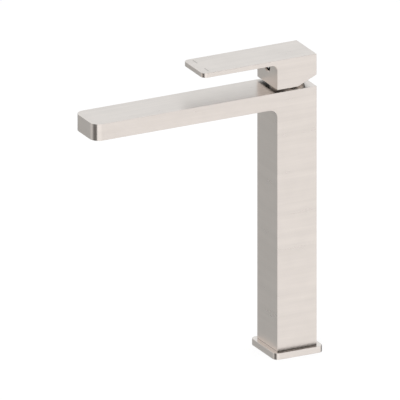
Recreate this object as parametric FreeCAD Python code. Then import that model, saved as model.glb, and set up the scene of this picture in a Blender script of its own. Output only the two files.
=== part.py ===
"""Tall single-lever basin mixer: square column, long flat spout, square handle block with a flat lever.

Millimetres.  +Z is up, the spout and the lever point to -Y, towards the user, and +X is to the user's
right.  The origin is where the column's axis meets the deck.
"""
import FreeCAD, Part
import os
from math import cos, radians, sin, sqrt, tan

V = FreeCAD.Vector
X_AXIS = V(1, 0, 0)
Y_AXIS = V(0, 1, 0)
Z_AXIS = V(0, 0, 1)
TINY = 1e-4
PAST = 1.0                      # how far a cutting tool runs past the face it opens

# ---- outer body -------------------------------------------------------------------------------
column_width = 45.0             # square column, spout and handle block share this width
base_width = 56.0               # square base plate
base_thickness = 7.0
base_corner = 6.0
body_height = 288.5             # deck to the flat top of the spout
spout_tip = 232.0               # column axis to the end of the spout
spout_thickness = 18.0
tip_corner = 10.0               # vertical corners at the end of the spout
throat_fillet = 9.0             # between the column's front and the spout's underside
seam_drop = 6.0                 # the ground seam of column and spout, below the throat's round
side_wall = 2.0
top_wall = 3.0
edge_break = 0.4                # small flat on the outer edges

# ---- handle -----------------------------------------------------------------------------------
handle_gap = 3.0                # body top to the block's underside
handle_height = 32.0
lever_thickness = 5.0
lever_tip = 107.5               # column axis to the end of the lever
lever_corner = 5.75
lever_fillet = 6.0              # between the block's front and the lever's underside
lift_angle = 24.0               # full lift; the block's rear underside has the same slope
heel_start = 1.3                # the slope starts this far behind the axis
block_wall = 2.3                # thinnest wall of the block, beside the round room for the ring nut
cavity_height = 15.5            # ceiling of that room above the body top
screw_hole_height = 22.2        # grub screw axis above the body top
screw_recess_radius = 5.3
screw_recess_depth = 4.0
screw_recess_bevel = 1.1
grub_radius = 2.5               # M5
grub_length = 8.0
hex_width = 2.5                 # across the flats of the grub screw's socket
hex_depth = 2.5
plug_sink = 1.2                 # the plug's face below the block's front
plug_radius = 3.5
mark_length = 10.0              # two short bars cut across the lever's end
mark_width = 1.5
mark_depth = 0.2
mark_spacing = 26.0
mark_inset = 9.0

# ---- hinge, stem and swivel --------------------------------------------------------------------
pivot_height = 4.0              # lift axis above the body top
toe_drop = 9.0                  # middle of the stem's round toe below the lift axis
toe_radius = 2.5
stem_side = 8.0
stem_neck_width = 5.0
stem_neck_depth = 4.0
stem_top = 28.0                 # stem end above the body top
stem_chamfer = 1.0
pin_radius = 1.5

# ---- deck interface ----------------------------------------------------------------------------
deck_opening_radius = 17.0      # through the base plate, over a 35 mm deck hole
spigot_height = 3.0
seal_inset = 3.0                # the deck seal lies this far inside the plate's edge
seal_width = 3.5
seal_thickness = 2.0
stud_spacing = 25.0             # two M8 mounting studs in a line along Y
stud_radius = 4.0
hose_slot_width = 12.5
insert_height = 14.0
inlet_spacing = 15.0            # two M10 x 1 hose threads side by side along X
inlet_radius = 4.5
inlet_thread_length = 12.0

# ---- brass valve body ----------------------------------------------------------------------------
valve_gap = 0.5                 # to the column's inner walls
valve_corner = 3.0
valve_depth = 48.0              # its foot below the body top
neck_top = 7.5                  # end of the threaded neck above the body top
seat_depth = 21.0               # cartridge seat below the body top
cartridge_bore = 13.0
gallery_depth = 27.0
gallery_radius = 1.75
riser_radius = 2.2
riser_wall = 1.3                # between the riser and the body's front face
plug_length = 5.0
boss_side = 12.4
boss_length = 12.0              # out of the valve body into the spout
tube_socket_depth = 8.0
tube_radius = 4.0
tube_wall = 1.0
tube_end_gap = 0.5

# ---- ring nut on the neck and cartridge nut inside it ----------------------------------------------
ring_gap = 1.5                  # around the ring nut in the handle's round room
ring_wall = 2.7                 # ring nut beyond the neck's thread
ring_height = 6.6
ring_crown = 1.5
cartridge_nut_top = 6.5
cartridge_nut_bore = 9.5
slot_width = 3.5
slot_depth = 1.4

# ---- ceramic cartridge --------------------------------------------------------------------------
case_bore = 10.6
case_top = 0.8
lip_radius = 8.5
lip_thickness = 1.6
port_base_thickness = 4.5
disc_thickness = 3.5
fixed_disc_radius = 10.4
moving_disc_radius = 8.5
film = 0.05                     # water film between the discs
inlet_port_distance = 5.3       # from the axis, half the angle below to either side of the front
inlet_port_angle = 50.0
inlet_port_radius = 1.5
outlet_port_y = 1.5
outlet_port_radius = 2.0
recess_radius = 3.3             # inside the circle that the inlets sweep, so both close at every swivel
recess_run = 3.0
recess_depth = 2.0
key_width = 2.0                 # ribs in the case that stop the fixed disc from turning
key_depth = 1.0
carrier_height = 6.0
carrier_foot = 1.5
carrier_half_width = 5.8
carrier_half_length = 5.0
rotor_flange = 2.3
rotor_neck_radius = 8.4
rotor_top = 7.4
rotor_slot_half = 6.2

# ---- outlet ---------------------------------------------------------------------------------------
outlet_inset = 17.0             # end of the spout to the middle of the outlet
frame_length = 37.0
frame_width = 11.0
frame_thickness = 1.2
frame_end = 6.0                 # frame beyond the window at each end
frame_side = 1.5                # and along its sides
window_lip = 1.2                # carries the straightener
gasket_thickness = 0.8
chamber_length = 33.0
chamber_side_gap = 0.3
chamber_wall = 2.0
chamber_socket = 8.0
cell_size = 2.2
cell_wall = 0.55
straightener_height = 5.0

# ---- clearances -------------------------------------------------------------------------------------
fit_gap = 0.2                   # loose seat between still pieces
thread_gap = 0.05               # threads are drawn as plain cylinders at their nominal size
running_gap = 0.1               # between moving pieces
pin_gap = 0.05

# ---- places that follow from the sizes ----------------------------------------------------------------
half = column_width / 2
top = body_height
cavity_half = half - side_wall
cavity_radius = half - block_wall
ring_radius = cavity_radius - ring_gap
neck_radius = ring_radius - ring_wall
valve_side = 2 * (cavity_half - valve_gap)
riser_offset = valve_side / 2 - riser_wall - riser_radius
spout_floor = top - spout_thickness
seam_z = spout_floor - throat_fillet - seam_drop
pivot_z = top + pivot_height
tube_z = top - (top_wall + spout_thickness - side_wall) / 2
reach = spout_tip - outlet_inset
seat_z = top - seat_depth
cartridge_radius = cartridge_bore - running_gap
valve_floor = top - valve_depth
boss_end = -valve_side / 2 - boss_length
fixed_disc_z = seat_z + port_base_thickness
moving_disc_z = fixed_disc_z + disc_thickness + film
carrier_z = moving_disc_z + disc_thickness
carrier_top = carrier_z + carrier_height
stem_travel = toe_drop * sin(radians(lift_angle))
disc_rest_y = stem_travel / 2
inlet_port_x = inlet_port_distance * sin(radians(inlet_port_angle))
inlet_port_y = -inlet_port_distance * cos(radians(inlet_port_angle))
rotor_flange_z = top + case_top - lip_thickness - running_gap - rotor_flange
block_floor = top + handle_gap
handle_top = block_floor + handle_height
lever_floor = handle_top - lever_thickness
screw_z = top + screw_hole_height
mark_y = mark_inset - lever_tip
insert_z = base_thickness + spigot_height + fit_gap
window_length = frame_length - 2 * frame_end
window_width = frame_width - 2 * frame_side
chamber_back = -reach + chamber_length / 2 + chamber_socket / 2
chamber_front = chamber_back - chamber_length


# ---- small shapes ---------------------------------------------------------------------------------
def block(x0, x1, y0, y1, z0, z1):
    return Part.makeBox(x1 - x0, y1 - y0, z1 - z0, V(x0, y0, z0))


def middle_block(width_x, width_y, z0, z1, y=0.0):
    """Block whose middle lies on X = 0."""
    return block(-width_x / 2, width_x / 2, y - width_y / 2, y + width_y / 2, z0, z1)


def rounded_block(width_x, width_y, corner, z0, z1, y=0.0):
    solid = middle_block(width_x, width_y, z0, z1, y)
    return solid.makeFillet(corner, edges_along(solid, Z_AXIS, lambda middle: True))


def post(radius, z0, z1, x=0.0, y=0.0):
    """Upright cylinder."""
    return Part.makeCylinder(radius, z1 - z0, V(x, y, z0), Z_AXIS)


def pipe(outer, inner, z0, z1, x=0.0, y=0.0):
    return post(outer, z0, z1, x, y).cut(post(inner, z0, z1, x, y))


def bar_y(radius, y0, y1, z):
    """Cylinder along Y, on X = 0."""
    return Part.makeCylinder(radius, y1 - y0, V(0, y0, z), Y_AXIS)


def bar_x(radius, half_length, y, z):
    """Cylinder along X, its middle on X = 0."""
    return Part.makeCylinder(radius, 2 * half_length, V(-half_length, y, z), X_AXIS)


def edges_along(shape, axis, test):
    """Straight edges of a shape that run along an axis and whose middle passes the test."""
    found = []
    for edge in shape.Edges:
        run = edge.Vertexes[-1].Point - edge.Vertexes[0].Point
        if run.Length > TINY and abs(abs(run.normalize().dot(axis)) - 1) < TINY:
            if test(edge.CenterOfMass):
                found.append(edge)
    return found


def prism_x(points, x0, x1):
    """Outline of (y, z) points, carried along X.  A point may be ('arc', middle, end)."""
    edges = []
    place = V(x0, *points[0])
    for item in points[1:]:
        if item[0] == "arc":
            end = V(x0, *item[2])
            edges.append(Part.Arc(place, V(x0, *item[1]), end).toShape())
        else:
            end = V(x0, *item)
            edges.append(Part.makeLine(place, end))
        place = end
    return Part.Face(Part.Wire(edges)).extrude(V(x1 - x0, 0, 0))


def arc_middle(centre_y, centre_z, radius):
    """Middle of a quarter round whose centre lies below and in front of it."""
    return (centre_y + radius * cos(radians(45)), centre_z + radius * sin(radians(45)))


def round_tip(solid, tip_y, radius):
    """Rounds the two upright corners at the end of the spout, its cavity or the lever."""
    return solid.makeFillet(radius, edges_along(solid, Z_AXIS, lambda middle: abs(middle.y - tip_y) < TINY))


def is_corner(edge, solid):
    """True for an edge where two faces meet at a corner, not where a round runs on smoothly."""
    middle = edge.valueAt((edge.FirstParameter + edge.LastParameter) / 2)
    normals = []
    for face in solid.Faces:
        if any(edge.isSame(other) for other in face.Edges):
            u, v = face.Surface.parameter(middle)
            normals.append(face.normalAt(u, v))
    return len(normals) == 2 and abs(normals[0].dot(normals[1])) < 0.5


def broken_edges(solid, joint_z=None):
    """Puts the small flat on every outer corner, apart from those in the plane of a joint."""
    corners = []
    for edge in solid.Edges:
        in_joint = joint_z is not None and edge.BoundBox.ZMax < joint_z + TINY
        if not in_joint and is_corner(edge, solid):
            corners.append(edge)
    return solid.makeChamfer(edge_break, corners)


def hexagon(across, centre, axis, length):
    """Hexagonal bar of a given width across its flats, two of them square to X."""
    side = X_AXIS * (across / sqrt(3))
    points = []
    for step in range(7):
        turn = FreeCAD.Rotation(axis, 60 * step + 30)
        points.append(centre + turn.multVec(side))
    return Part.Face(Part.makePolygon(points)).extrude(axis * length)


def save(name, shape):
    clean = shape.removeSplitter()
    clean.exportStep("parts/" + name + ".step")
    print(name, len(clean.Solids), "solid(s)", round(clean.Volume, 1), "mm3", clean.isValid())


# ---- outer body ------------------------------------------------------------------------------------
def make_column_tube():
    """Square tube from the base plate up to the seam under the throat."""
    tube = middle_block(column_width, column_width, base_thickness, seam_z)
    tube = tube.makeChamfer(edge_break, edges_along(tube, Z_AXIS, lambda middle: True))
    return tube.cut(middle_block(2 * cavity_half, 2 * cavity_half, base_thickness, seam_z))


def head_outline(inset, roof):
    """Side outline of the spout and its short neck, drawn in by an inset, its top drawn down by the roof."""
    front = -half + inset
    under = spout_floor + inset
    centre_y = -half - throat_fillet
    centre_z = spout_floor - throat_fillet
    tip = -spout_tip + inset
    return [
        (half - inset, seam_z),
        (half - inset, top - roof),
        (tip, top - roof),
        (tip, under),
        (centre_y, under),
        ("arc", arc_middle(centre_y, centre_z, throat_fillet + inset), (front, centre_z)),
        (front, seam_z),
        (half - inset, seam_z),
    ]


def make_spout_head():
    """Hollow spout with a round throat: open at the seam, a neck hole above, an outlet slot below."""
    outside = round_tip(prism_x(head_outline(0.0, 0.0), -half, half), -spout_tip, tip_corner)
    outside = broken_edges(outside, seam_z)
    inside = prism_x(head_outline(side_wall, top_wall), -cavity_half, cavity_half)
    inside = round_tip(inside, -spout_tip + side_wall, tip_corner - side_wall)
    head = outside.cut(inside)
    head = head.cut(post(neck_radius + fit_gap, top - top_wall - PAST, top + PAST))
    return head.cut(outlet_block(fit_gap, spout_floor, spout_floor + side_wall))


def make_base_plate():
    """Plate with a locating spigot, the deck opening and the groove of the deck seal."""
    plate = broken_edges(rounded_block(base_width, base_width, base_corner, 0.0, base_thickness))
    spigot_side = 2 * (cavity_half - fit_gap)
    plate = plate.fuse(middle_block(spigot_side, spigot_side, base_thickness, base_thickness + spigot_height))
    plate = plate.cut(post(deck_opening_radius, -PAST, base_thickness + spigot_height + PAST))
    return plate.cut(seal_ring(fit_gap / 2))


def seal_ring(room):
    """Square ring with rounded outer corners, grown by the room it gets in its groove."""
    outer_side = base_width - 2 * seal_inset
    inner_side = outer_side - 2 * seal_width - 2 * room
    outer_side = outer_side + 2 * room
    outer = rounded_block(outer_side, outer_side, base_corner - seal_inset + room, 0.0, seal_thickness)
    return outer.cut(middle_block(inner_side, inner_side, 0.0, seal_thickness))


def make_fixing_insert():
    """Block in the column's foot: two stud threads in front and behind a slot for both hoses."""
    side = 2 * (cavity_half - running_gap)
    insert_top = insert_z + insert_height
    insert = middle_block(side, side, insert_z, insert_top)
    for sign in (-1, 1):
        insert = insert.cut(post(stud_radius, insert_z, insert_top, 0.0, sign * stud_spacing / 2))
        insert = insert.cut(post(hose_slot_width / 2, insert_z, insert_top, sign * inlet_spacing / 2))
    return insert.cut(middle_block(inlet_spacing, hose_slot_width, insert_z, insert_top))


# ---- water way -------------------------------------------------------------------------------------
def make_valve_body():
    """Cartridge seat on top, hose threads below, and the way from the outlet port up to the spout."""
    body = rounded_block(valve_side, valve_side, valve_corner, valve_floor, top - top_wall)
    body = body.fuse(post(neck_radius, top - top_wall - PAST, top + neck_top))
    boss_floor = tube_z - boss_side / 2
    boss_top = boss_floor + boss_side
    body = body.fuse(middle_block(boss_side, 2 * boss_length, boss_floor, boss_top, -valve_side / 2))
    body = body.cut(post(cartridge_bore, seat_z, top + neck_top + PAST))
    thread_end = valve_floor + inlet_thread_length
    for sign in (-1, 1):
        body = body.cut(post(inlet_radius, valve_floor - PAST, thread_end, sign * inlet_spacing / 2))
        inlet_x = sign * inlet_port_x
        body = body.cut(post(inlet_port_radius, thread_end - PAST, seat_z + PAST, inlet_x, inlet_port_y))
    gallery_z = top - gallery_depth
    body = body.cut(post(outlet_port_radius, gallery_z, seat_z + PAST, 0.0, outlet_port_y))
    body = body.cut(bar_y(gallery_radius, -riser_offset, valve_side / 2 + PAST, gallery_z))
    body = body.cut(post(riser_radius, valve_floor - PAST, tube_z, 0.0, -riser_offset))
    return body.cut(bar_y(tube_radius + thread_gap, boss_end - PAST, -riser_offset, tube_z))


def make_drilling_plugs():
    """One plug closes the gallery at the back, the other the riser at the foot."""
    back = valve_side / 2
    gallery = bar_y(gallery_radius - thread_gap, back - plug_length, back, top - gallery_depth)
    riser = post(riser_radius - thread_gap, valve_floor, valve_floor + plug_length, 0.0, -riser_offset)
    return Part.makeCompound([gallery, riser])


def make_outlet_tube():
    start = boss_end + tube_socket_depth - tube_end_gap
    end = chamber_back - chamber_socket + tube_end_gap
    return bar_y(tube_radius, end, start, tube_z).cut(bar_y(tube_radius - tube_wall, end, start, tube_z))


# ---- neck hardware -----------------------------------------------------------------------------------
def make_dress_ring():
    """Ring nut on the neck's thread: it pulls the valve body up under the top wall and shows as a collar."""
    ring_top = top + ring_height
    ring = post(ring_radius, top, ring_top)
    ring = ring.makeChamfer(ring_crown, [edge for edge in ring.Edges if edge.BoundBox.ZMin > ring_top - TINY])
    return ring.cut(post(neck_radius + thread_gap, top, ring_top))


def make_cartridge_nut():
    """Threaded ring that bears on the cartridge's top, with a key slot across it."""
    nut_top = top + cartridge_nut_top
    nut = pipe(cartridge_bore - thread_gap, cartridge_nut_bore, top + case_top, nut_top)
    return nut.cut(middle_block(slot_width, 2 * cartridge_bore, nut_top - slot_depth, nut_top))


# ---- cartridge -----------------------------------------------------------------------------------------
def case_keys(room):
    """Two ribs in the case that stop the fixed disc from turning, grown by their room."""
    inner = case_bore - key_depth - room
    width = key_width + 2 * room
    both = middle_block(2 * cartridge_bore, width, fixed_disc_z, fixed_disc_z + disc_thickness)
    return both.cut(middle_block(2 * inner, width, fixed_disc_z, fixed_disc_z + disc_thickness))


def make_cartridge_case():
    """Case with an inner lip over the rotor and two ribs for the fixed disc."""
    case = post(cartridge_radius, fixed_disc_z, top + case_top)
    case = case.cut(post(case_bore, fixed_disc_z, top + case_top - lip_thickness))
    case = case.cut(post(lip_radius, fixed_disc_z, top + case_top))
    return case.fuse(case_keys(0.0).common(post(cartridge_radius, fixed_disc_z, top)))


def port_places():
    """Hot, cold and outlet ports as (x, y, radius)."""
    return [
        (-inlet_port_x, inlet_port_y, inlet_port_radius),
        (inlet_port_x, inlet_port_y, inlet_port_radius),
        (0.0, outlet_port_y, outlet_port_radius),
    ]


def make_cartridge_base():
    """Base with the three ports."""
    base = post(cartridge_radius, seat_z, fixed_disc_z)
    for x, y, radius in port_places():
        base = base.cut(post(radius, seat_z, fixed_disc_z, x, y))
    return base


def make_fixed_disc():
    """Lower ceramic disc with the three ports and two key notches."""
    disc_top = fixed_disc_z + disc_thickness
    disc = post(fixed_disc_radius, fixed_disc_z, disc_top)
    for x, y, radius in port_places():
        disc = disc.cut(post(radius, fixed_disc_z, disc_top, x, y))
    return disc.cut(case_keys(running_gap))


def make_moving_disc():
    """Upper ceramic disc; sliding forwards brings its recess over the inlets and joins them to the outlet."""
    disc = post(moving_disc_radius, moving_disc_z, carrier_z, 0.0, disc_rest_y)
    recess_top = moving_disc_z + recess_depth
    recess = post(recess_radius, moving_disc_z, recess_top)
    recess = recess.fuse(post(recess_radius, moving_disc_z, recess_top, 0.0, recess_run))
    link = middle_block(2 * recess_radius, recess_run, moving_disc_z, recess_top, recess_run / 2)
    return disc.cut(recess.fuse(link))


def make_disc_carrier():
    """Round foot on the moving disc and a flat-sided block with the pocket of the stem's toe."""
    foot = post(moving_disc_radius - fit_gap, carrier_z, carrier_z + carrier_foot, 0.0, disc_rest_y)
    carrier = foot.fuse(middle_block(2 * carrier_half_width, 2 * carrier_half_length, carrier_z, carrier_top))
    room = toe_radius + running_gap
    pocket_floor = pivot_z - toe_drop - toe_radius - fit_gap
    return carrier.cut(middle_block(2 * room, 2 * room, pocket_floor, carrier_top))


def make_rotor():
    """Swivelling core: flange under the case lip, skirts along the carrier, slot for the stem."""
    flange_top = rotor_flange_z + rotor_flange
    skirt_floor = carrier_z + carrier_foot + fit_gap
    rotor = post(case_bore - running_gap, skirt_floor, flange_top)
    channel_width = 2 * (carrier_half_width + running_gap)
    rotor = rotor.cut(middle_block(channel_width, column_width, skirt_floor, carrier_top + fit_gap))
    rotor = rotor.fuse(post(rotor_neck_radius, flange_top, top + rotor_top))
    slot_across = stem_side + 2 * running_gap
    rotor = rotor.cut(middle_block(slot_across, 2 * rotor_slot_half, skirt_floor, top + rotor_top))
    return rotor.cut(bar_x(pin_radius + thread_gap / 2, half, 0.0, pivot_z))


def make_stem_pin():
    pin_half = sqrt(rotor_neck_radius ** 2 - pin_radius ** 2) - fit_gap
    return bar_x(pin_radius, pin_half, 0.0, pivot_z)


# ---- handle ------------------------------------------------------------------------------------------
def handle_outline():
    """Side outline of block and lever, with the sloped heel and the round under the lever."""
    heel_rise = (half - heel_start) * tan(radians(lift_angle))
    round_y = -half - lever_fillet
    round_z = lever_floor - lever_fillet
    return [
        (half, handle_top),
        (-lever_tip, handle_top),
        (-lever_tip, lever_floor),
        (round_y, lever_floor),
        ("arc", arc_middle(round_y, round_z, lever_fillet), (-half, round_z)),
        (-half, block_floor),
        (heel_start, block_floor),
        (half, block_floor + heel_rise),
        (half, handle_top),
    ]


def make_handle():
    """Block and lever in one piece, hollow underneath, with stem socket, screw hole and two marks."""
    handle = round_tip(prism_x(handle_outline(), -half, half), -lever_tip, lever_corner)
    handle = broken_edges(handle)
    ceiling = top + cavity_height
    handle = handle.cut(post(cavity_radius, block_floor - PAST, ceiling))
    socket_side = stem_side + 2 * thread_gap
    handle = handle.cut(middle_block(socket_side, socket_side, ceiling - PAST, top + stem_top + fit_gap))
    handle = handle.cut(bar_y(grub_radius + thread_gap, -half, 0.0, screw_z))
    handle = handle.cut(bar_y(screw_recess_radius, -half, -half + screw_recess_depth, screw_z))
    mouth = screw_recess_radius + screw_recess_bevel
    place = V(0, -half, screw_z)
    handle = handle.cut(Part.makeCone(mouth, screw_recess_radius, screw_recess_bevel, place, Y_AXIS))
    for sign in (-1, 1):
        mark = middle_block(mark_length, mark_width, handle_top - mark_depth, handle_top, mark_y)
        mark.translate(V(sign * mark_spacing / 2, 0, 0))
        handle = handle.cut(mark)
    return handle


def make_lever_stem():
    """Square shank, round hub at the lift axis, slim neck and the round toe that drives the carrier."""
    shank = middle_block(stem_side, stem_side, pivot_z, top + stem_top)
    top_edges = [edge for edge in shank.Edges if edge.BoundBox.ZMin > top + stem_top - 2 * TINY]
    shank = shank.makeChamfer(stem_chamfer, top_edges)
    toe_z = pivot_z - toe_drop
    stem = shank.fuse(bar_x(stem_side / 2, stem_side / 2, 0.0, pivot_z))
    stem = stem.fuse(middle_block(stem_neck_width, stem_neck_depth, toe_z, pivot_z))
    stem = stem.fuse(bar_x(toe_radius, stem_neck_width / 2, 0.0, toe_z))
    return stem.cut(bar_x(pin_radius + pin_gap, stem_side, 0.0, pivot_z))


def make_grub_screw():
    """Socket grub screw that bears on the stem's front."""
    front = -stem_side / 2 - grub_length
    screw = bar_y(grub_radius, front, -stem_side / 2, screw_z)
    return screw.cut(hexagon(hex_width, V(0, front, screw_z), Y_AXIS, hex_depth))


def make_screw_plug():
    """Button that closes the screw hole in the middle of the recess."""
    return bar_y(plug_radius, -half + plug_sink, -half + screw_recess_depth, screw_z)


# ---- outlet --------------------------------------------------------------------------------------------
def make_outlet_chamber():
    """Box over the outlet with a tube socket behind and an open window below."""
    floor = spout_floor + side_wall
    ceiling = top - top_wall - fit_gap
    width = 2 * (cavity_half - chamber_side_gap)
    chamber = middle_block(width, chamber_length, floor, ceiling, (chamber_back + chamber_front) / 2)
    chamber = round_tip(chamber, chamber_front, tip_corner - side_wall)
    room_back = chamber_back - chamber_socket - chamber_wall
    room_front = chamber_front + chamber_wall
    room_floor = spout_floor + frame_thickness + straightener_height + fit_gap
    room_half = window_length / 2
    room = block(-room_half, room_half, room_front, room_back, room_floor, ceiling - chamber_wall)
    chamber = chamber.cut(room)
    chamber = chamber.cut(window_opening(fit_gap, floor, room_floor))
    return chamber.cut(bar_y(tube_radius + thread_gap, room_back, chamber_back, tube_z))


def outlet_block(room, z0, z1):
    """The outlet's outline, grown by a room."""
    return middle_block(frame_length + room, frame_width + room, z0, z1, -reach)


def window_opening(room, z0, z1):
    """The window in the middle of the outlet, grown by a room."""
    return middle_block(window_length + room, window_width + room, z0, z1, -reach)


def make_outlet_gasket():
    z0 = spout_floor + frame_thickness
    z1 = z0 + gasket_thickness
    return outlet_block(0.0, z0, z1).cut(window_opening(fit_gap, z0, z1))


def make_outlet_frame():
    """Flush plate with a lip under the straightener."""
    z0 = spout_floor
    z1 = z0 + frame_thickness
    return outlet_block(0.0, z0, z1).cut(window_opening(-2 * window_lip, z0, z1))


def make_stream_straightener():
    """Honeycomb insert: staggered rows of hexagonal cells right through."""
    z0 = spout_floor + frame_thickness
    insert = window_opening(0.0, z0, z0 + straightener_height)
    pitch = cell_size + cell_wall
    row_pitch = pitch * sqrt(3) / 2
    cell_height = 2 * cell_size / sqrt(3)
    rows = 1 + int((window_width - cell_height - cell_wall) / row_pitch)
    longest = 1 + int((window_length - cell_size - 2 * cell_wall) / pitch)
    cells = []
    for row in range(rows):
        y = -reach + (row - (rows - 1) / 2) * row_pitch
        count = longest - (row + 1) % 2
        for column in range(count):
            x = (column - (count - 1) / 2) * pitch
            cells.append(hexagon(cell_size, V(x, y, z0), Z_AXIS, straightener_height))
    return insert.cut(cells)


# ---- all pieces ----------------------------------------------------------------------------------------
PIECES = {
    "base_plate": make_base_plate,
    "deck_seal": lambda: seal_ring(0.0),
    "column_tube": make_column_tube,
    "spout_head": make_spout_head,
    "fixing_insert": make_fixing_insert,
    "valve_body": make_valve_body,
    "drilling_plugs": make_drilling_plugs,
    "dress_ring": make_dress_ring,
    "cartridge_nut": make_cartridge_nut,
    "cartridge_case": make_cartridge_case,
    "cartridge_base": make_cartridge_base,
    "fixed_disc": make_fixed_disc,
    "moving_disc": make_moving_disc,
    "disc_carrier": make_disc_carrier,
    "rotor": make_rotor,
    "stem_pin": make_stem_pin,
    "lever_stem": make_lever_stem,
    "handle": make_handle,
    "grub_screw": make_grub_screw,
    "screw_plug": make_screw_plug,
    "outlet_tube": make_outlet_tube,
    "outlet_chamber": make_outlet_chamber,
    "outlet_gasket": make_outlet_gasket,
    "outlet_frame": make_outlet_frame,
    "stream_straightener": make_stream_straightener,
}

os.makedirs("parts", exist_ok=True)
for piece_name, make_piece in PIECES.items():
    save(piece_name, make_piece())
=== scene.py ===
"""Tall single-lever basin mixer in brushed nickel: the finished skin and the finishes of the inner pieces.

Metres.  +Z is up, the spout and the lever point to -Y, and +X is to the user's right.
"""
from math import cos, pi, radians, sin, sqrt, tan

import bmesh
import bpy
from mathutils import Matrix, Vector


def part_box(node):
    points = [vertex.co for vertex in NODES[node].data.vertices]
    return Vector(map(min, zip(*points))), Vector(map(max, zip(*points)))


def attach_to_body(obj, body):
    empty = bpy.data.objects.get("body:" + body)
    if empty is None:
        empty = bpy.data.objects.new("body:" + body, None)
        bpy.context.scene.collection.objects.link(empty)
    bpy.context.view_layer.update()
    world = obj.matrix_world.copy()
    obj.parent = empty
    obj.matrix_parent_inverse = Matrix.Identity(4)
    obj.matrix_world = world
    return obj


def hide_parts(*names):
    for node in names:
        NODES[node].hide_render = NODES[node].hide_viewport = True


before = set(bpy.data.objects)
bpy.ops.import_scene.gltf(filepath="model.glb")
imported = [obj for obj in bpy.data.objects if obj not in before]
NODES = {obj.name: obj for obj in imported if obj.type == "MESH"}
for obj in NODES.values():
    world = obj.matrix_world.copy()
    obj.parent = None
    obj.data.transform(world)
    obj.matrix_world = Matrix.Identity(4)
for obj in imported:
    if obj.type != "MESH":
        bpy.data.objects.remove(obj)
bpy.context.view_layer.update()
MM = 0.001

# ---- sizes of the skin, beside those read from the frame ---------------------------------------
EDGE_ROUND = 0.3 * MM
EDGE_STEPS = 4                   # facets across a rounded edge
ROUND_STEPS = 20                 # facets in a quarter of a visible round
HOLE_STEPS = 128                 # and round a wide hole
CUT_PAST = 1 * MM                # a cutting shape runs this far past the face it opens
NEAR = 0.1 * MM                  # slack for finding the faces of a cut

# column, spout and base plate
SPOUT_THICKNESS = 18 * MM
TIP_CORNER = 10 * MM
THROAT_ROUND = 9 * MM
SIDE_WALL = 2 * MM
TOP_WALL = 3 * MM
NECK_HOLE = 16.2 * MM
OUTLET_ROOM = 0.1 * MM
JOINT_SHADE = 0.4 * MM            # height of the painted shade along the joint of column and plate
PLATE_CORNER = 6 * MM
PLATE_OPENING = 17 * MM
SPIGOT_ROOM = 0.2 * MM
SEAL_WIDTH = 3.5 * MM
SEAL_CORNER = 3 * MM
SEAL_ROOM = 0.1 * MM

# handle
LEVER_THICKNESS = 5 * MM
LEVER_CORNER = 5.75 * MM
LEVER_ROUND = 6 * MM
HEEL_START = 1.3 * MM
HEEL_SLOPE = radians(24)
CAVITY_RADIUS = 20.2 * MM
CAVITY_HEIGHT = 12.5 * MM
SOCKET_SIDE = 8.1 * MM
SOCKET_HEIGHT = 25.2 * MM
ROOF_OF_BLOCK = 2 * MM           # the room and the socket end below this
SCREW_HEIGHT = 19.2 * MM         # screw axis above the block's underside
SCREW_HOLE = 2.55 * MM
RECESS_MOUTH = 6.4 * MM
RECESS_RADIUS = 5.3 * MM
RECESS_DEPTH = 4 * MM
PLUG_FACE = 2.6 * MM
PLUG_DISH = 0.46 * MM
DISH_STEPS = 8
PLUG_GROOVE = 1.2 * MM
PLUG_BEVEL = 0.1 * MM
MARK_LENGTH = 10 * MM
MARK_WIDTH = 1.5 * MM
MARK_DEPTH = 0.2 * MM
MARK_X = 13 * MM
MARK_FROM_TIP = 9 * MM

# collar and outlet
RING_BORE = 16.05 * MM
RING_CROWN = 1.5 * MM
RING_DRAW_IN = 2.3 * MM
RING_BOWL = 5 * MM
RING_STEPS = 160
BOWL_STEPS = 10
CELL_SIZE = 2.2 * MM
CELL_WALL = 0.55 * MM
CELL_COLUMNS = 8
CELL_ROWS = 3
RIM_END = 1.1 * MM
RIM_SIDE = 0.35 * MM


# ---- shapes ------------------------------------------------------------------------------------
def new_piece(name, mesh):
    piece = bpy.data.objects.new(name, mesh)
    bpy.context.scene.collection.objects.link(piece)
    return piece


def piece_from(name, points, faces):
    """New piece from points and faces, its doubles merged and its faces turned outwards."""
    mesh = bpy.data.meshes.new(name)
    mesh.from_pydata([tuple(point) for point in points], [], faces)
    shape = bmesh.new()
    shape.from_mesh(mesh)
    bmesh.ops.remove_doubles(shape, verts=shape.verts, dist=1e-7)
    bmesh.ops.recalc_face_normals(shape, faces=shape.faces)
    shape.to_mesh(mesh)
    shape.free()
    return new_piece(name, mesh)


def arc(centre, radius, start, end, steps=ROUND_STEPS):
    """Points of an arc as (u, v) pairs, from one angle to another in degrees."""
    points = []
    for step in range(steps + 1):
        angle = radians(start + (end - start) * step / steps)
        points.append((centre[0] + radius * cos(angle), centre[1] + radius * sin(angle)))
    return points


def prism(name, outline, place):
    """Closed solid between two copies of an outline; place turns (u, v, end) into a point."""
    count = len(outline)
    points = [place(u, v, end) for end in (0, 1) for u, v in outline]
    faces = [list(range(count)), list(range(2 * count - 1, count - 1, -1))]
    for i in range(count):
        j = (i + 1) % count
        faces.append([i, j, count + j, count + i])
    return piece_from(name, points, faces)


def side_prism(name, outline, x0, x1):
    return prism(name, outline, lambda y, z, end: (x1 if end else x0, y, z))


def plan_prism(name, outline, z0, z1):
    return prism(name, outline, lambda x, y, end: (x, y, z1 if end else z0))


def box_piece(name, low, high):
    outline = [(low[0], low[1]), (high[0], low[1]), (high[0], high[1]), (low[0], high[1])]
    return plan_prism(name, outline, low[2], high[2])


def square_post(name, half, z0, z1):
    return box_piece(name, (-half, -half, z0), (half, half, z1))


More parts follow.
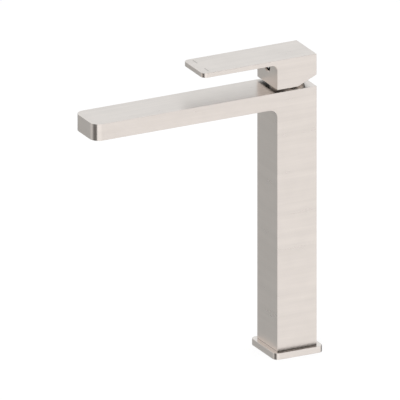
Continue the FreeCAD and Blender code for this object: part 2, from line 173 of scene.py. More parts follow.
def lathe(name, profile, place, steps=96):
    """Turned solid: (radius, height) points carried round; place turns (a, b, height) into a point."""
    points = []
    faces = []
    count = len(profile)
    for turn in range(steps):
        angle = 2 * pi * turn / steps
        for radius, height in profile:
            points.append(place(radius * cos(angle), radius * sin(angle), height))
    for turn in range(steps):
        here = turn * count
        there = (turn + 1) % steps * count
        for i in range(count):
            j = (i + 1) % count
            faces.append([here + i, there + i, there + j, here + j])
    return piece_from(name, points, [face for face in faces if len(set(face)) > 2])


def upright(a, b, height):
    return (a, b, height)


def drill(radius, start, end):
    """Profile of a straight round hole, for the lathe."""
    return [(0, start), (radius, start), (radius, end), (0, end)]


def tip_plan(x_half, back, tip, corner):
    """Plan outline, open-cornered behind, with both corners at the tip rounded."""
    left = arc((-x_half + corner, tip + corner), corner, 180, 270)
    right = arc((x_half - corner, tip + corner), corner, 270, 360)
    return [(-x_half, back)] + left + right + [(x_half, back)]


def rounded_square(half, corner):
    outline = []
    for turn, (sx, sy) in enumerate(((1, 1), (-1, 1), (-1, -1), (1, -1))):
        centre = (sx * (half - corner), sy * (half - corner))
        outline += arc(centre, corner, 90 * turn, 90 * turn + 90)
    return outline


def settle(piece):
    """Turns a piece and its modifiers into a plain mesh."""
    bpy.context.view_layer.update()
    graph = bpy.context.evaluated_depsgraph_get()
    mesh = bpy.data.meshes.new_from_object(piece.evaluated_get(graph), preserve_all_data_layers=True,
                                           depsgraph=graph)
    piece.modifiers.clear()
    piece.data = mesh
    return piece


def combine(piece, tool, operation):
    """Cuts, joins or intersects a piece with a tool, which is used up."""
    step = piece.modifiers.new(operation, "BOOLEAN")
    step.operation = operation
    step.solver = "EXACT"
    step.object = tool
    settle(piece)
    bpy.data.objects.remove(tool)
    return piece


def round_edges(piece):
    """Rounds each edge that turns by more than half a right angle."""
    step = piece.modifiers.new("edges", "BEVEL")
    step.width = EDGE_ROUND
    step.segments = EDGE_STEPS
    step.limit_method = "ANGLE"
    step.angle_limit = radians(45)
    step.use_clamp_overlap = True
    return settle(piece)


def smooth(piece):
    """Smooth shading that leaves large faces flat and corners crisp."""
    piece.data.shade_smooth()
    piece.data.set_sharp_from_angle(angle=radians(35))
    step = piece.modifiers.new("normals", "WEIGHTED_NORMAL")
    step.keep_sharp = True
    step.weight = 100
    return settle(piece)


# ---- node trees --------------------------------------------------------------------------------
class Nodes:
    """Short calls for the nodes of a material, a world or a geometry tree."""

    def __init__(self, tree):
        self.tree = tree
        tree.nodes.clear()

    def add(self, kind, **settings):
        node = self.tree.nodes.new(kind)
        for key, value in settings.items():
            setattr(node, key, value)
        return node

    def link(self, source, socket):
        self.tree.links.new(source, socket)

    def fill(self, socket, value):
        """Gives a socket a plain value, or links it to another node's output."""
        if isinstance(value, bpy.types.NodeSocket):
            self.link(value, socket)
        else:
            socket.default_value = value

    def math(self, operation, a, b=0.0, c=0.0):
        node = self.add("ShaderNodeMath", operation=operation)
        for socket, value in zip(node.inputs, (a, b, c)):
            self.fill(socket, value)
        return node.outputs[0]

    def spread(self, value, low, high, new_low=0.0, new_high=1.0, **settings):
        """Carries a value from one range over to another, and holds it at the ends."""
        node = self.add("ShaderNodeMapRange", **settings)
        for name, number in zip(("Value", "From Min", "From Max", "To Min", "To Max"),
                                (value, low, high, new_low, new_high)):
            self.fill(node.inputs[name], number)
        return node.outputs["Result"]

    def mix(self, factor, first, second):
        node = self.add("ShaderNodeMix", data_type="RGBA")
        for name, value in zip(("Factor", "A", "B"), (factor, first, second)):
            self.fill(node.inputs[name], value)
        return node.outputs["Result"]

    def mix_shaders(self, factor, first, second):
        node = self.add("ShaderNodeMixShader")
        for socket, source in zip(node.inputs, (factor, first, second)):
            self.link(source, socket)
        return node.outputs[0]

    def split(self, vector):
        node = self.add("ShaderNodeSeparateXYZ")
        self.link(vector, node.inputs[0])
        return node.outputs["X"], node.outputs["Y"], node.outputs["Z"]

    def gather(self, x, y, z):
        node = self.add("ShaderNodeCombineXYZ")
        for socket, value in zip(node.inputs, (x, y, z)):
            self.fill(socket, value)
        return node.outputs[0]

    def place(self, output="Object"):
        return self.add("ShaderNodeTexCoord").outputs[output]

    def noise(self, vector, scale, detail=3.0, roughness=0.55):
        node = self.add("ShaderNodeTexNoise")
        self.link(vector, node.inputs["Vector"])
        node.inputs["Scale"].default_value = scale
        node.inputs["Detail"].default_value = detail
        node.inputs["Roughness"].default_value = roughness
        return node.outputs["Fac"]


class Recipe(Nodes):
    """A material with one shader."""

    def __init__(self, name):
        self.material = bpy.data.materials.new(name)
        self.material.use_nodes = True
        super().__init__(self.material.node_tree)
        self.shader = self.add("ShaderNodeBsdfPrincipled")
        self.output = self.add("ShaderNodeOutputMaterial")
        self.link(self.shader.outputs["BSDF"], self.output.inputs["Surface"])

    def give(self, name, source):
        """Leads a node's output into one of the shader's sockets."""
        self.link(source, self.shader.inputs[name])

    def bump(self, height, strength, distance):
        node = self.add("ShaderNodeBump")
        node.inputs["Strength"].default_value = strength
        node.inputs["Distance"].default_value = distance
        self.link(height, node.inputs["Height"])
        self.give("Normal", node.outputs["Normal"])


# ---- materials ---------------------------------------------------------------------------------
NICKEL_TONE = (0.75, 0.69, 0.645)
GRAIN_STRETCH = 0.8
GRAIN_ALONG = 40.0               # streaks to a metre along the grain and across it
GRAIN_ACROSS = 900.0
FINE_STREAKS = (0.65, 1.5, 0.5)  # scale, detail and roughness of the noise
BROAD_STREAKS = (0.14, 2.0, 0.45)
CLOUDS = (40.0, 2.0, 0.5)
FINE_SHARE = 0.17
BROAD_SHARE = 0.5
CLOUD_SHARE = 0.33
STREAK_RANGE = (0.35, 0.65)      # from the darkest streak to the lightest
GRAIN_CONTRAST = 0.05
FRONT_CALM = 0.11                # fronts show their grain less
FACING = 0.7                     # a face counts as front or top from this part of its normal
RINGS = 2500.0                   # rings of turned metal, to a metre


def linear(r, g, b):
    return (r, g, b, 1.0)


def dark_and_light(tone, contrast):
    """The darker and the lighter end of a tone that varies by a contrast to either side."""
    return (linear(*[channel * (1 - contrast) for channel in tone]),
            linear(*[min(channel * (1 + contrast), 1.0) for channel in tone]))


def brushed_along(recipe, along, across, third):
    """Streaks: long along the grain, narrow across it."""
    return recipe.gather(recipe.math("MULTIPLY", along, GRAIN_ALONG),
                         recipe.math("MULTIPLY", across, GRAIN_ACROSS),
                         recipe.math("MULTIPLY", third, GRAIN_ALONG))


def level_grain(recipe, on_front, on_top):
    """Grain that runs level: along Y on sides and tops, along X on fronts."""
    x, y, z = recipe.split(recipe.place())
    side, top, front = [brushed_along(recipe, *order) for order in ((y, z, x), (y, x, z), (x, z, y))]
    return recipe.mix(on_front, recipe.mix(on_top, side, top), front)


def draw_out_reflections(recipe, on_top):
    """A mirror image is drawn out across the grain and stays sharp along it."""
    recipe.shader.inputs["Anisotropic"].default_value = GRAIN_STRETCH
    across = recipe.gather(on_top, 0.0, recipe.math("SUBTRACT", 1.0, on_top))
    turn = recipe.add("ShaderNodeVectorTransform", vector_type="VECTOR",
                      convert_from="OBJECT", convert_to="WORLD")
    recipe.link(across, turn.inputs[0])
    recipe.give("Tangent", turn.outputs[0])


def brushed_metal(name, tone, roughness, on_top_roughness=None):
    """Plated and brushed metal with fine and broad streaks and soft clouds."""
    recipe = Recipe(name)
    normal = recipe.split(recipe.place("Normal"))
    on_front, on_top = [recipe.math("GREATER_THAN", recipe.math("ABSOLUTE", part), FACING)
                        for part in normal[1:]]
    grain = level_grain(recipe, on_front, on_top)
    fine = recipe.noise(grain, *FINE_STREAKS)
    broad = recipe.noise(grain, *BROAD_STREAKS)
    cloud = recipe.noise(recipe.place(), *CLOUDS)
    streaks = recipe.math("MULTIPLY_ADD", broad, BROAD_SHARE, recipe.math("MULTIPLY", fine, FINE_SHARE))
    streaks = recipe.math("MULTIPLY_ADD", cloud, CLOUD_SHARE, streaks)
    calm = recipe.math("MULTIPLY", on_front, FRONT_CALM)
    level = recipe.spread(streaks, recipe.math("SUBTRACT", STREAK_RANGE[0], calm),
                          recipe.math("ADD", STREAK_RANGE[1], calm))
    recipe.give("Base Color", recipe.mix(level, *dark_and_light(tone, GRAIN_CONTRAST)))
    base = recipe.spread(on_top, 0.0, 1.0, roughness, on_top_roughness or roughness)
    recipe.give("Roughness", recipe.math("ADD", base, recipe.spread(streaks, 0.3, 0.7, -0.01, 0.01)))
    recipe.shader.inputs["Metallic"].default_value = 1.0
    draw_out_reflections(recipe, on_top)
    recipe.bump(fine, 0.02, 0.00005)
    return recipe.material


def turned_metal(name, tone, roughness):
    """Turned metal with fine rings round the vertical axis."""
    recipe = Recipe(name)
    x, y, z = recipe.split(recipe.place())
    square = recipe.math("ADD", recipe.math("POWER", x, 2.0), recipe.math("POWER", y, 2.0))
    radius = recipe.math("SQRT", square)
    rings = recipe.noise(recipe.gather(recipe.math("MULTIPLY", radius, RINGS),
                                       recipe.math("MULTIPLY", z, RINGS), 0.0), 1.0, 2.0)
    dark = linear(*[channel * 0.93 for channel in tone])
    recipe.give("Base Color", recipe.mix(rings, dark, linear(*tone)))
    recipe.give("Roughness", recipe.spread(rings, 0.3, 0.7, roughness - 0.03, roughness + 0.05))
    recipe.shader.inputs["Metallic"].default_value = 1.0
    recipe.bump(rings, 0.1, 0.00003)
    return recipe.material


def cast_brass():
    """Machined brass with dull, slightly browned patches."""
    recipe = Recipe("machined_brass")
    place = recipe.place()
    patches = recipe.noise(place, 90.0, 4.0)
    scratches = recipe.noise(place, 1500.0, 2.0)
    recipe.give("Base Color", recipe.mix(patches, linear(0.62, 0.43, 0.18), linear(0.80, 0.62, 0.30)))
    recipe.give("Roughness", recipe.spread(patches, 0.3, 0.7, 0.28, 0.42))
    recipe.shader.inputs["Metallic"].default_value = 1.0
    recipe.bump(scratches, 0.15, 0.00004)
    return recipe.material


def moulded(name, tone, roughness, speckle=0.08, relief=0.00005, gloss=0.5):
    """Moulded plastic, rubber or ceramic with a fine surface."""
    recipe = Recipe(name)
    place = recipe.place()
    grain = recipe.noise(place, 1800.0, 3.0)
    cloud = recipe.noise(place, 60.0, 2.0)
    recipe.give("Base Color", recipe.mix(cloud, *dark_and_light(tone, speckle)))
    recipe.give("Roughness", recipe.spread(grain, 0.3, 0.7, roughness - 0.05, roughness + 0.05))
    recipe.shader.inputs["Specular IOR Level"].default_value = gloss
    recipe.bump(grain, 0.2, relief)
    return recipe.material


NICKEL = brushed_metal("brushed_nickel", NICKEL_TONE, 0.28)
NICKEL_HANDLE = brushed_metal("brushed_nickel_handle", NICKEL_TONE, 0.28)
NICKEL_PLATE = brushed_metal("brushed_nickel_plate", NICKEL_TONE, 0.28, 0.2)
# Near-black painted shade, put under the handle, in its hollows and recess, in the plug's groove and along
# the column's foot.
PAINTED_SHADE = moulded("painted_shade_black", (0.010, 0.010, 0.010), 0.7, gloss=0.03)
NICKEL_TURNED = turned_metal("turned_nickel", (0.74, 0.70, 0.66), 0.2)
NICKEL_MARK = brushed_metal("matt_nickel_mark", (0.56, 0.53, 0.50), 0.42)
PLUG_STEEL = turned_metal("plug_steel", (0.80, 0.79, 0.77), 0.22)
STEEL = turned_metal("plain_steel", (0.60, 0.60, 0.60), 0.3)
BRASS = cast_brass()
RUBBER = moulded("black_rubber", (0.022, 0.022, 0.023), 0.62)
CERAMIC = moulded("lapped_ceramic", (0.83, 0.81, 0.76), 0.2, 0.02, 0.00001)
WHITE_PLASTIC = moulded("white_acetal", (0.78, 0.78, 0.75), 0.42, 0.03)
GREY_PLASTIC = moulded("grey_plastic", (0.20, 0.21, 0.22), 0.5, 0.06)

CAD_FINISHES = {
    "deck_seal": RUBBER,
    "fixing_insert": BRASS,
    "valve_body": BRASS,
    "drilling_plugs": BRASS,
    "cartridge_nut": BRASS,
    "cartridge_case": WHITE_PLASTIC,
    "cartridge_base": GREY_PLASTIC,
    "fixed_disc": CERAMIC,
    "moving_disc": CERAMIC,
    "disc_carrier": GREY_PLASTIC,
    "rotor": GREY_PLASTIC,
    "stem_pin": STEEL,
    "lever_stem": BRASS,
    "grub_screw": STEEL,
    "outlet_tube": BRASS,
    "outlet_chamber": GREY_PLASTIC,
    "outlet_gasket": RUBBER,
    "outlet_frame": NICKEL,
}


def finish_with(piece, material):
    piece.data.materials.clear()
    piece.data.materials.append(material)
    return piece


def attach(piece, body, nodes, material):
    """A finished piece rides on its body and stands for its CAD nodes."""
    finish_with(piece, material)
    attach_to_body(piece, body)
    if nodes:
        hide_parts(*nodes)


def paint_shade(piece, test):
    """Gives the faces that pass a test a near-black of painted shade."""
    piece.data.materials.append(PAINTED_SHADE)
    for face in piece.data.polygons:
        if test(face):
            face.material_index = 1


# ---- column and spout --------------------------------------------------------------------------
def body_side(inset, roof):
    """Side outline of column and spout, drawn in by an inset and at its top by the roof's thickness."""
    column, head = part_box("column_tube"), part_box("spout_head")
    front = column[0].y
    floor = head[1].z - SPOUT_THICKNESS
    throat = (front - THROAT_ROUND, floor - THROAT_ROUND)
    low = column[0].z - (CUT_PAST if inset else 0)
    outline = [(column[1].y - inset, low), (column[1].y - inset, head[1].z - roof)]
    outline += [(head[0].y + inset, head[1].z - roof), (head[0].y + inset, floor + inset)]
    outline += arc(throat, THROAT_ROUND + inset, 90, 0)
    outline += [(front + inset, low)]
    return outline


def make_body():
    """Hollow welded skin: square column and flat spout in one, with a round throat."""
    column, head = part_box("column_tube"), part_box("spout_head")
    half = column[1].x
    skin = side_prism("column_and_spout", body_side(0, 0), -half, half)
    plan = tip_plan(half, head[1].y, head[0].y, TIP_CORNER)
    combine(skin, plan_prism("plan", plan, column[0].z - CUT_PAST, head[1].z + CUT_PAST), "INTERSECT")
    round_edges(skin)
    inner_half = half - SIDE_WALL
    hollow = side_prism("hollow", body_side(SIDE_WALL, TOP_WALL), -inner_half, inner_half)
    plan = tip_plan(inner_half, head[1].y, head[0].y + SIDE_WALL, TIP_CORNER - SIDE_WALL)
    combine(hollow, plan_prism("plan", plan, column[0].z - 2 * CUT_PAST, head[1].z), "INTERSECT")
    combine(skin, hollow, "DIFFERENCE")
    neck = drill(NECK_HOLE, head[1].z - TOP_WALL - CUT_PAST, head[1].z + CUT_PAST)
    combine(skin, lathe("neck", neck, upright), "DIFFERENCE")
    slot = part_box("outlet_frame")
    room = Vector((OUTLET_ROOM, OUTLET_ROOM, CUT_PAST))
    combine(skin, box_piece("slot", slot[0] - room, slot[1] + room), "DIFFERENCE")
    attach(smooth(skin), "housing", ("column_tube", "spout_head"), NICKEL)
    # The lowest faces of the column get painted shade along its joint with the plate.
    paint_shade(skin, lambda face: face.center.z < column[0].z + JOINT_SHADE)


# ---- base plate --------------------------------------------------------------------------------
def make_base_plate():
    """Rounded plate with its spigot, the deck opening and the groove of the deck seal."""
    low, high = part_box("base_plate")
    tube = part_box("column_tube")
    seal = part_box("deck_seal")
    plate = plan_prism("base_plate_skin", rounded_square(high.x, PLATE_CORNER), low.z, tube[0].z)
    round_edges(plate)
    spigot = square_post("spigot", tube[1].x - SIDE_WALL - SPIGOT_ROOM, tube[0].z - CUT_PAST, high.z)
    combine(plate, spigot, "UNION")
    opening = drill(PLATE_OPENING, low.z - CUT_PAST, high.z + CUT_PAST)
    combine(plate, lathe("opening", opening, upright, HOLE_STEPS), "DIFFERENCE")
    rim = rounded_square(seal[1].x + SEAL_ROOM, SEAL_CORNER + SEAL_ROOM)
    groove = plan_prism("groove", rim, low.z - CUT_PAST, seal[1].z)
    core = square_post("core", seal[1].x - SEAL_WIDTH - SEAL_ROOM, low.z - 2 * CUT_PAST, high.z)
    combine(groove, core, "DIFFERENCE")
    combine(plate, groove, "DIFFERENCE")
    attach(smooth(plate), "housing", ("base_plate",), NICKEL_PLATE)


# ---- handle ------------------------------------------------------------------------------------
def handle_side():
    """Side outline of block and lever, with the sloped heel and the round under the lever."""
    low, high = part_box("handle")
    half = high.y
    lever_floor = high.z - LEVER_THICKNESS
    corner = (-half - LEVER_ROUND, lever_floor - LEVER_ROUND)
    outline = [(half, high.z), (low.y, high.z), (low.y, lever_floor)]
    outline += arc(corner, LEVER_ROUND, 90, 0)
    outline += [(-half, low.z), (HEEL_START, low.z), (half, low.z + (half - HEEL_START) * tan(HEEL_SLOPE))]
    return outline


def forward(origin):
    """Places a turned shape on an axis along Y, its height counted inwards from the front."""
    return lambda a, b, height: (origin.x + a, origin.y + height, origin.z + b)


def make_handle():
    """Block and lever in one, with the screw recess in front and the room for the collar below."""
    low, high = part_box("handle")
    half = high.x
    handle = side_prism("handle_skin", handle_side(), -half, half)
    plan = tip_plan(half, half, low.y, LEVER_CORNER)
    combine(handle, plan_prism("plan", plan, low.z - CUT_PAST, high.z + CUT_PAST), "INTERSECT")
    round_edges(handle)
    cavity = drill(CAVITY_RADIUS, low.z - CUT_PAST, low.z + CAVITY_HEIGHT)
    combine(handle, lathe("cavity", cavity, upright, HOLE_STEPS), "DIFFERENCE")
    combine(handle, square_post("socket", SOCKET_SIDE / 2, low.z, low.z + SOCKET_HEIGHT), "DIFFERENCE")
    front = Vector((0, -half, low.z + SCREW_HEIGHT))
    recess = [(0, -CUT_PAST), (RECESS_MOUTH, -CUT_PAST), (RECESS_MOUTH, 0),
              (RECESS_RADIUS, RECESS_MOUTH - RECESS_RADIUS), (RECESS_RADIUS, RECESS_DEPTH),
              (SCREW_HOLE, RECESS_DEPTH), (SCREW_HOLE, half), (0, half)]
    combine(handle, lathe("recess", recess, forward(front)), "DIFFERENCE")
    for sign in (-1, 1):
        combine(handle, mark_shape("mark_cut", sign, high.z - MARK_DEPTH, high.z + CUT_PAST), "DIFFERENCE")
    attach(smooth(handle), "lever", ("handle",), NICKEL_HANDLE)
    # The underside, the room, the socket and the screw recess get painted shade, for the darkness under the
    # handle.
    paint_shade(handle, lambda face: is_shaded_in_handle(face.center, face.normal))


def is_shaded_in_handle(centre, normal):
    """True for the faces that get painted shade: the block's flat underside, the room and socket in it, and
    the screw recess.
    """
    low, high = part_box("handle")
    underside = centre.z < low.z + NEAR and normal.z < -0.99
    under_roof = low.z - NEAR < centre.z < high.z - ROOF_OF_BLOCK
    room = centre.xy.length < CAVITY_RADIUS + NEAR and under_roof
    from_screw = Vector((centre.x, centre.z - low.z - SCREW_HEIGHT)).length
    recess = from_screw < RECESS_RADIUS + NEAR and -high.y < centre.y < 0
    return underside or room or recess


def mark_shape(name, sign, z0, z1):
    """One of the two short bars across the lever's end."""
    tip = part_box("handle")[0].y + MARK_FROM_TIP
    x = sign * MARK_X
    low = (x - MARK_LENGTH / 2, tip - MARK_WIDTH / 2, z0)
    return box_piece(name, low, (x + MARK_LENGTH / 2, tip + MARK_WIDTH / 2, z1))


def make_marks():
    """The floors of the two bars, a little duller than the lever."""
    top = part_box("handle")[1].z
    for sign, side in ((-1, "left"), (1, "right")):
        bar = mark_shape("lever_mark_" + side, sign, top - MARK_DEPTH, top - MARK_DEPTH / 3)
        attach(bar, "lever", (), NICKEL_MARK)


def make_screw_plug():
    """Button in the recess: a bright dished face inside a groove in painted shade."""
    low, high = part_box("screw_plug")
    radius = high.x
    depth = high.y - low.y
    parts = [step / DISH_STEPS for step in range(DISH_STEPS + 1)]
    profile = [(PLUG_FACE * part, PLUG_DISH * (1 - part ** 2)) for part in parts]
    edge = PLUG_FACE + PLUG_BEVEL
    profile += [(edge, PLUG_BEVEL), (edge, PLUG_GROOVE), (radius, PLUG_GROOVE), (radius, depth), (0, depth)]
    front = Vector((0, low.y, (low.z + high.z) / 2))
    plug = lathe("screw_plug_face", profile, forward(front))
    attach(smooth(plug), "lever", ("screw_plug",), PLUG_STEEL)
    # Everything outside the dished face gets painted shade.
    paint_shade(plug, lambda face: (face.center - front).xz.length > PLUG_FACE)


# ---- collar ------------------------------------------------------------------------------------
def make_dress_ring():
    """Turned collar, bowl-shaped below, with a rounded crown."""
    low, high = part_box("dress_ring")
    outer = high.x
    profile = [(RING_BORE, low.z)]
    for step in range(BOWL_STEPS + 1):
        part = step / BOWL_STEPS
        profile.append((outer - RING_DRAW_IN * (1 - part) ** 2, low.z + RING_BOWL * part))
    profile += arc((outer - RING_CROWN, high.z - RING_CROWN), RING_CROWN, 0, 90, BOWL_STEPS)
    profile += [(RING_BORE, high.z)]
    ring = lathe("collar", profile, upright, RING_STEPS)
    attach(smooth(ring), "housing", ("dress_ring",), NICKEL_TURNED)


# ---- outlet ------------------------------------------------------------------------------------
def staggered_points(nodes, sizes, pitch):
    """Centres of the cells: a level grid with every other row shifted by half a cell."""
    row_pitch = nodes.math("MULTIPLY", pitch, sqrt(3) / 2)
    grid = nodes.add("GeometryNodeMeshGrid")
    for along, count, spacing in (("X", "Columns", pitch), ("Y", "Rows", row_pitch)):
        gaps = nodes.math("SUBTRACT", sizes[count], 1.0)
        nodes.link(nodes.math("MULTIPLY", spacing, gaps), grid.inputs["Size " + along])
        nodes.link(sizes[count], grid.inputs["Vertices " + along])
    level = nodes.split(nodes.add("GeometryNodeInputPosition").outputs[0])[1]
    row = nodes.math("ROUND", nodes.math("DIVIDE", level, row_pitch))
    odd = nodes.math("MODULO", nodes.math("ABSOLUTE", row), 2.0)
    shift = nodes.gather(nodes.math("MULTIPLY", nodes.math("MULTIPLY", odd, pitch), 0.5), 0.0, 0.0)
    move = nodes.add("GeometryNodeSetPosition")
    nodes.link(grid.outputs["Mesh"], move.inputs["Geometry"])
    nodes.link(shift, move.inputs["Offset"])
    return move.outputs["Geometry"]


def open_cell(nodes, sizes, pitch):
    """One hexagonal cell, open at both ends, its wall drawn inwards by half the wall between two cells."""
    ring = nodes.add("GeometryNodeMeshCylinder", fill_type="NONE")
    ring.inputs["Vertices"].default_value = 6
    nodes.link(nodes.math("DIVIDE", pitch, sqrt(3)), ring.inputs["Radius"])
    nodes.link(sizes["Height"], ring.inputs["Depth"])
    turn = nodes.add("GeometryNodeTransform")
    turn.inputs["Rotation"].default_value = (0, 0, radians(30))
    nodes.link(ring.outputs["Mesh"], turn.inputs["Geometry"])
    thick = nodes.add("GeometryNodeExtrudeMesh")
    thick.inputs["Individual"].default_value = False
    nodes.link(turn.outputs["Geometry"], thick.inputs["Mesh"])
    nodes.link(nodes.math("MULTIPLY", sizes["Wall"], -0.5), thick.inputs["Offset Scale"])
    flip = nodes.add("GeometryNodeFlipFaces")
    nodes.link(thick.outputs["Mesh"], flip.inputs["Mesh"])
    return flip.outputs["Mesh"]


def honeycomb_tree(material):
    """Rows of open hexagonal cells, every other row shifted by half a cell."""
    tree = bpy.data.node_groups.new("honeycomb", "GeometryNodeTree")
    tree.interface.new_socket("Geometry", in_out="INPUT", socket_type="NodeSocketGeometry")
    for name, kind in (("Cell", "Float"), ("Wall", "Float"), ("Height", "Float"),
                       ("Columns", "Int"), ("Rows", "Int")):
        tree.interface.new_socket(name, in_out="INPUT", socket_type="NodeSocket" + kind)
    tree.interface.new_socket("Geometry", in_out="OUTPUT", socket_type="NodeSocketGeometry")
    nodes = Nodes(tree)
    sizes = nodes.add("NodeGroupInput").outputs
    pitch = nodes.math("ADD", sizes["Cell"], sizes["Wall"])
    cells = nodes.add("GeometryNodeInstanceOnPoints")
    nodes.link(staggered_points(nodes, sizes, pitch), cells.inputs["Points"])
    nodes.link(open_cell(nodes, sizes, pitch), cells.inputs["Instance"])
    real = nodes.add("GeometryNodeRealizeInstances")
    nodes.link(cells.outputs["Instances"], real.inputs["Geometry"])
    finish = nodes.add("GeometryNodeSetMaterial")
    finish.inputs["Material"].default_value = material
    nodes.link(real.outputs["Geometry"], finish.inputs["Geometry"])
    nodes.link(finish.outputs["Geometry"], nodes.add("NodeGroupOutput").inputs["Geometry"])
    return tree


def make_straightener():
    """Honeycomb of the outlet with its frame."""
    low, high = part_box("stream_straightener")
    comb = new_piece("stream_honeycomb", bpy.data.meshes.new("stream_honeycomb"))
    step = comb.modifiers.new("honeycomb", "NODES")
    step.node_group = honeycomb_tree(GREY_PLASTIC)
    sizes = {"Cell": CELL_SIZE, "Wall": CELL_WALL, "Height": high.z - low.z,
             "Columns": CELL_COLUMNS, "Rows": CELL_ROWS}
    for item in step.node_group.interface.items_tree:
        if item.name in sizes:
            step[item.identifier] = sizes[item.name]
    settle(comb)
    comb.data.transform(Matrix.Translation((low + high) / 2))
    attach(comb, "housing", ("stream_straightener",), GREY_PLASTIC)
    rim = box_piece("straightener_rim", low, high)
    inset = Vector((RIM_END, RIM_SIDE, -CUT_PAST))
    combine(rim, box_piece("opening", low + inset, high - inset), "DIFFERENCE")
    attach(rim, "housing", (), GREY_PLASTIC)


# ---- studio ------------------------------------------------------------------------------------
VIEW_AZIMUTH = radians(63.0)      # from the front towards +X
VIEW_ELEVATION = radians(20.5)
VIEW_WIDTH = 0.4077
VIEW_CENTRE_RIGHT = -0.08865
VIEW_CENTRE_UP = 0.15054
VIEW_DISTANCE = 2.0


def view_axes():
    right = Vector((cos(VIEW_AZIMUTH), sin(VIEW_AZIMUTH), 0))
    back = Vector((sin(VIEW_AZIMUTH) * cos(VIEW_ELEVATION), -cos(VIEW_AZIMUTH) * cos(VIEW_ELEVATION),
                   sin(VIEW_ELEVATION)))
    return right, back.cross(right), back


def make_camera():
    right, up, back = view_axes()
    camera = bpy.data.objects.new("camera", bpy.data.cameras.new("camera"))
    camera.data.type = "ORTHO"
    camera.data.ortho_scale = VIEW_WIDTH
    camera.data.clip_end = 10
    turn = Matrix((right, up, back)).transposed().to_4x4()
    camera.matrix_world = Matrix.Translation(
        right * VIEW_CENTRE_RIGHT + up * VIEW_CENTRE_UP + back * VIEW_DISTANCE) @ turn
    bpy.context.scene.collection.objects.link(camera)
    bpy.context.scene.camera = camera


# The studio that the metal mirrors: azimuth and brightness or colour round the horizon
STUDIO_BELOW = (
    (-180, 0.50), (-168, 0.30), (-160, 0.12), (-148, 0.12), (-140, 0.40), (-133, 0.40), (-127, 0.03),
    (-104, 0.03), (-92, 0.42), (-84, (0.49, 0.50, 0.50)), (-60, (0.49, 0.50, 0.495)), (-46, 0.57),
    (-34, (0.69, 0.69, 0.68)), (-18, (0.64, 0.64, 0.63)), (-8, 0.46), (5, (0.17, 0.165, 0.16)),
    (41, (0.17, 0.165, 0.16)), (51, 1.14), (92, 1.16), (106, 1.115), (148, 1.115), (160, 0.95),
    (171, 0.65), (180, 0.50),
)
STUDIO_ABOVE = (
    (-180, 1.0), (-166, 0.30), (-158, 0.05), (-141, 0.05), (-134, (0.90, 0.93, 0.95)),
    (-128, (0.965, 1.00, 1.02)), (-100, (0.965, 1.00, 1.02)), (-84, 0.95), (-40, 0.95), (-8, 0.95),
    (5, 0.30), (42, 0.30), (50, 1.1), (93, 1.1), (102, 0.02), (133, 0.02), (143, 1.05), (180, 1.0),
)
STUDIO_OVERHEAD = (
    (-180, 1.5), (-150, 1.2), (-128, (0.965, 1.0, 1.02)), (-40, (0.965, 1.0, 1.02)), (93, 1.05),
    (112, 1.1), (130, 1.5), (150, 1.7), (180, 1.5),
)
HORIZON_FADE = (-3, 9)           # elevations between which the lower colours give way to those above
OVERHEAD_FADE = (38, 54)         # and these to the overhead ones
PLAIN_LIGHT = 0.97               # what matt surfaces get from all round
PLAIN_STRENGTH = 0.75
FLOOR_HALF = 3.0
FLOOR_GLOW = 1.04                # keeps the floor near white to the eye
FLOOR_GLOW_SHARE = 0.8
LAMP_POWER = 14
LAMP_SIZE = 1.2
LAMP_PLACE = (0.1, -0.2, 1.6)


def colour_round(nodes, turn, stops):
    """Colour ramp over a full turn, its stops given as azimuths in degrees."""
    ramp = nodes.add("ShaderNodeValToRGB")
    nodes.link(turn, ramp.inputs["Fac"])
    elements = ramp.color_ramp.elements
    while len(elements) > 1:
        elements.remove(elements[-1])
    for index, (azimuth, colour) in enumerate(stops):
        position = azimuth / 360 + 0.5
        element = elements.new(position) if index else elements[0]
        element.position = position
        element.color = (*colour, 1) if isinstance(colour, tuple) else (colour, colour, colour, 1)
    return ramp.outputs["Color"]


def mirrored_studio(nodes):
    """Colours round the horizon in three bands, from below the horizon to overhead."""
    x, y, height = nodes.split(nodes.place("Generated"))
    azimuth = nodes.math("ARCTAN2", x, nodes.math("MULTIPLY", y, -1.0))
    turn = nodes.math("ADD", nodes.math("DIVIDE", azimuth, 2 * pi), 0.5)
    colour = colour_round(nodes, turn, STUDIO_BELOW)
    for fade, stops in ((HORIZON_FADE, STUDIO_ABOVE), (OVERHEAD_FADE, STUDIO_OVERHEAD)):
        low, high = [sin(radians(elevation)) for elevation in fade]
        rise = nodes.spread(height, low, high, interpolation_type="SMOOTHSTEP")
        colour = nodes.mix(rise, colour, colour_round(nodes, turn, stops))
    return colour


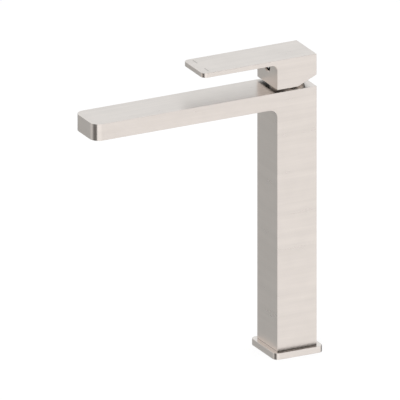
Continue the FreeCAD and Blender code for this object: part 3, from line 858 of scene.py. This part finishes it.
def make_world():
    """White surroundings to the eye, plain light on matt surfaces, and a studio for metal to mirror."""
    world = bpy.data.worlds.new("studio")
    bpy.context.scene.world = world
    world.use_nodes = True
    nodes = Nodes(world.node_tree)
    mirrored = nodes.add("ShaderNodeBackground")
    nodes.link(mirrored_studio(nodes), mirrored.inputs["Color"])
    plain = nodes.add("ShaderNodeBackground")
    plain.inputs["Color"].default_value = linear(PLAIN_LIGHT, PLAIN_LIGHT, PLAIN_LIGHT)
    plain.inputs["Strength"].default_value = PLAIN_STRENGTH
    white = nodes.add("ShaderNodeBackground")
    rays = nodes.add("ShaderNodeLightPath").outputs
    by_gloss = nodes.mix_shaders(rays["Is Glossy Ray"], plain.outputs[0], mirrored.outputs[0])
    by_eye = nodes.mix_shaders(rays["Is Camera Ray"], by_gloss, white.outputs[0])
    nodes.link(by_eye, nodes.add("ShaderNodeOutputWorld").inputs["Surface"])


def make_floor():
    """Pale floor that keeps a faint shadow of the object."""
    edge = FLOOR_HALF
    corners = [(-edge, -edge, 0), (edge, -edge, 0), (edge, edge, 0), (-edge, edge, 0)]
    floor = piece_from("floor", corners, [[0, 1, 2, 3]])
    recipe = Recipe("pale_floor")
    recipe.shader.inputs["Base Color"].default_value = linear(0.93, 0.93, 0.93)
    recipe.shader.inputs["Roughness"].default_value = 0.9
    glow = recipe.add("ShaderNodeEmission")
    glow.inputs["Strength"].default_value = FLOOR_GLOW
    to_the_eye = recipe.add("ShaderNodeLightPath").outputs["Is Camera Ray"]
    blend = recipe.mix_shaders(recipe.math("MULTIPLY", to_the_eye, FLOOR_GLOW_SHARE),
                               recipe.shader.outputs[0], glow.outputs[0])
    recipe.link(blend, recipe.output.inputs["Surface"])
    finish_with(floor, recipe.material)
    floor.visible_glossy = False


def make_lamp():
    """One large soft lamp above, for the shadow."""
    lamp = bpy.data.objects.new("soft_lamp", bpy.data.lights.new("soft_lamp", "AREA"))
    lamp.data.energy = LAMP_POWER
    lamp.data.size = LAMP_SIZE
    lamp.matrix_world = Matrix.Translation(LAMP_PLACE)
    lamp.visible_glossy = False
    bpy.context.scene.collection.objects.link(lamp)


# ---- the whole object --------------------------------------------------------------------------
for node, material in CAD_FINISHES.items():
    finish_with(NODES[node], material)
make_body()
make_base_plate()
make_handle()
make_marks()
make_screw_plug()
make_dress_ring()
make_straightener()
make_camera()
make_world()
make_floor()
make_lamp()
bpy.context.scene.view_settings.view_transform = "Standard"
